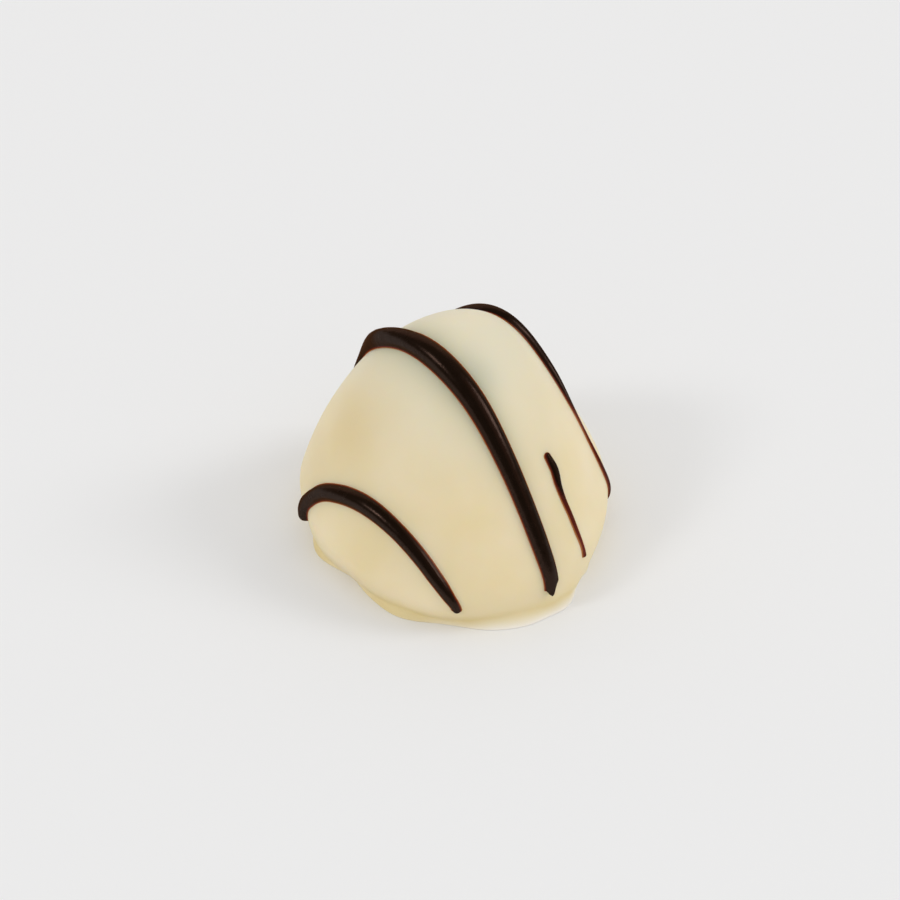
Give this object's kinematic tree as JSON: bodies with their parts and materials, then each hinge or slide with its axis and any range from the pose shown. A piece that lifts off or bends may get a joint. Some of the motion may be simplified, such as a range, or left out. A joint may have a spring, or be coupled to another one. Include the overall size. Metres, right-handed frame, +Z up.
{
  "type": "chocolate praline",
  "caption": "Dome-shaped bite-size praline coated in white chocolate, with a flat base, an uneven pooled foot and strands of dark chocolate drizzled over it.",
  "frame": {"origin": "middle of the flat underside", "axes": "+Z up out of the underside, -Y towards the side the picture is taken from, +X to its right"},
  "size_m": [0.03, 0.0302, 0.0216],
  "materials": {
    "white_chocolate": "poured white chocolate, satin, cream coloured",
    "dark_chocolate": "drizzled dark chocolate, soft gloss, almost black"
  },
  "bodies": {
    "root": {"praline": "white_chocolate"}
  },
  "joints": []
}
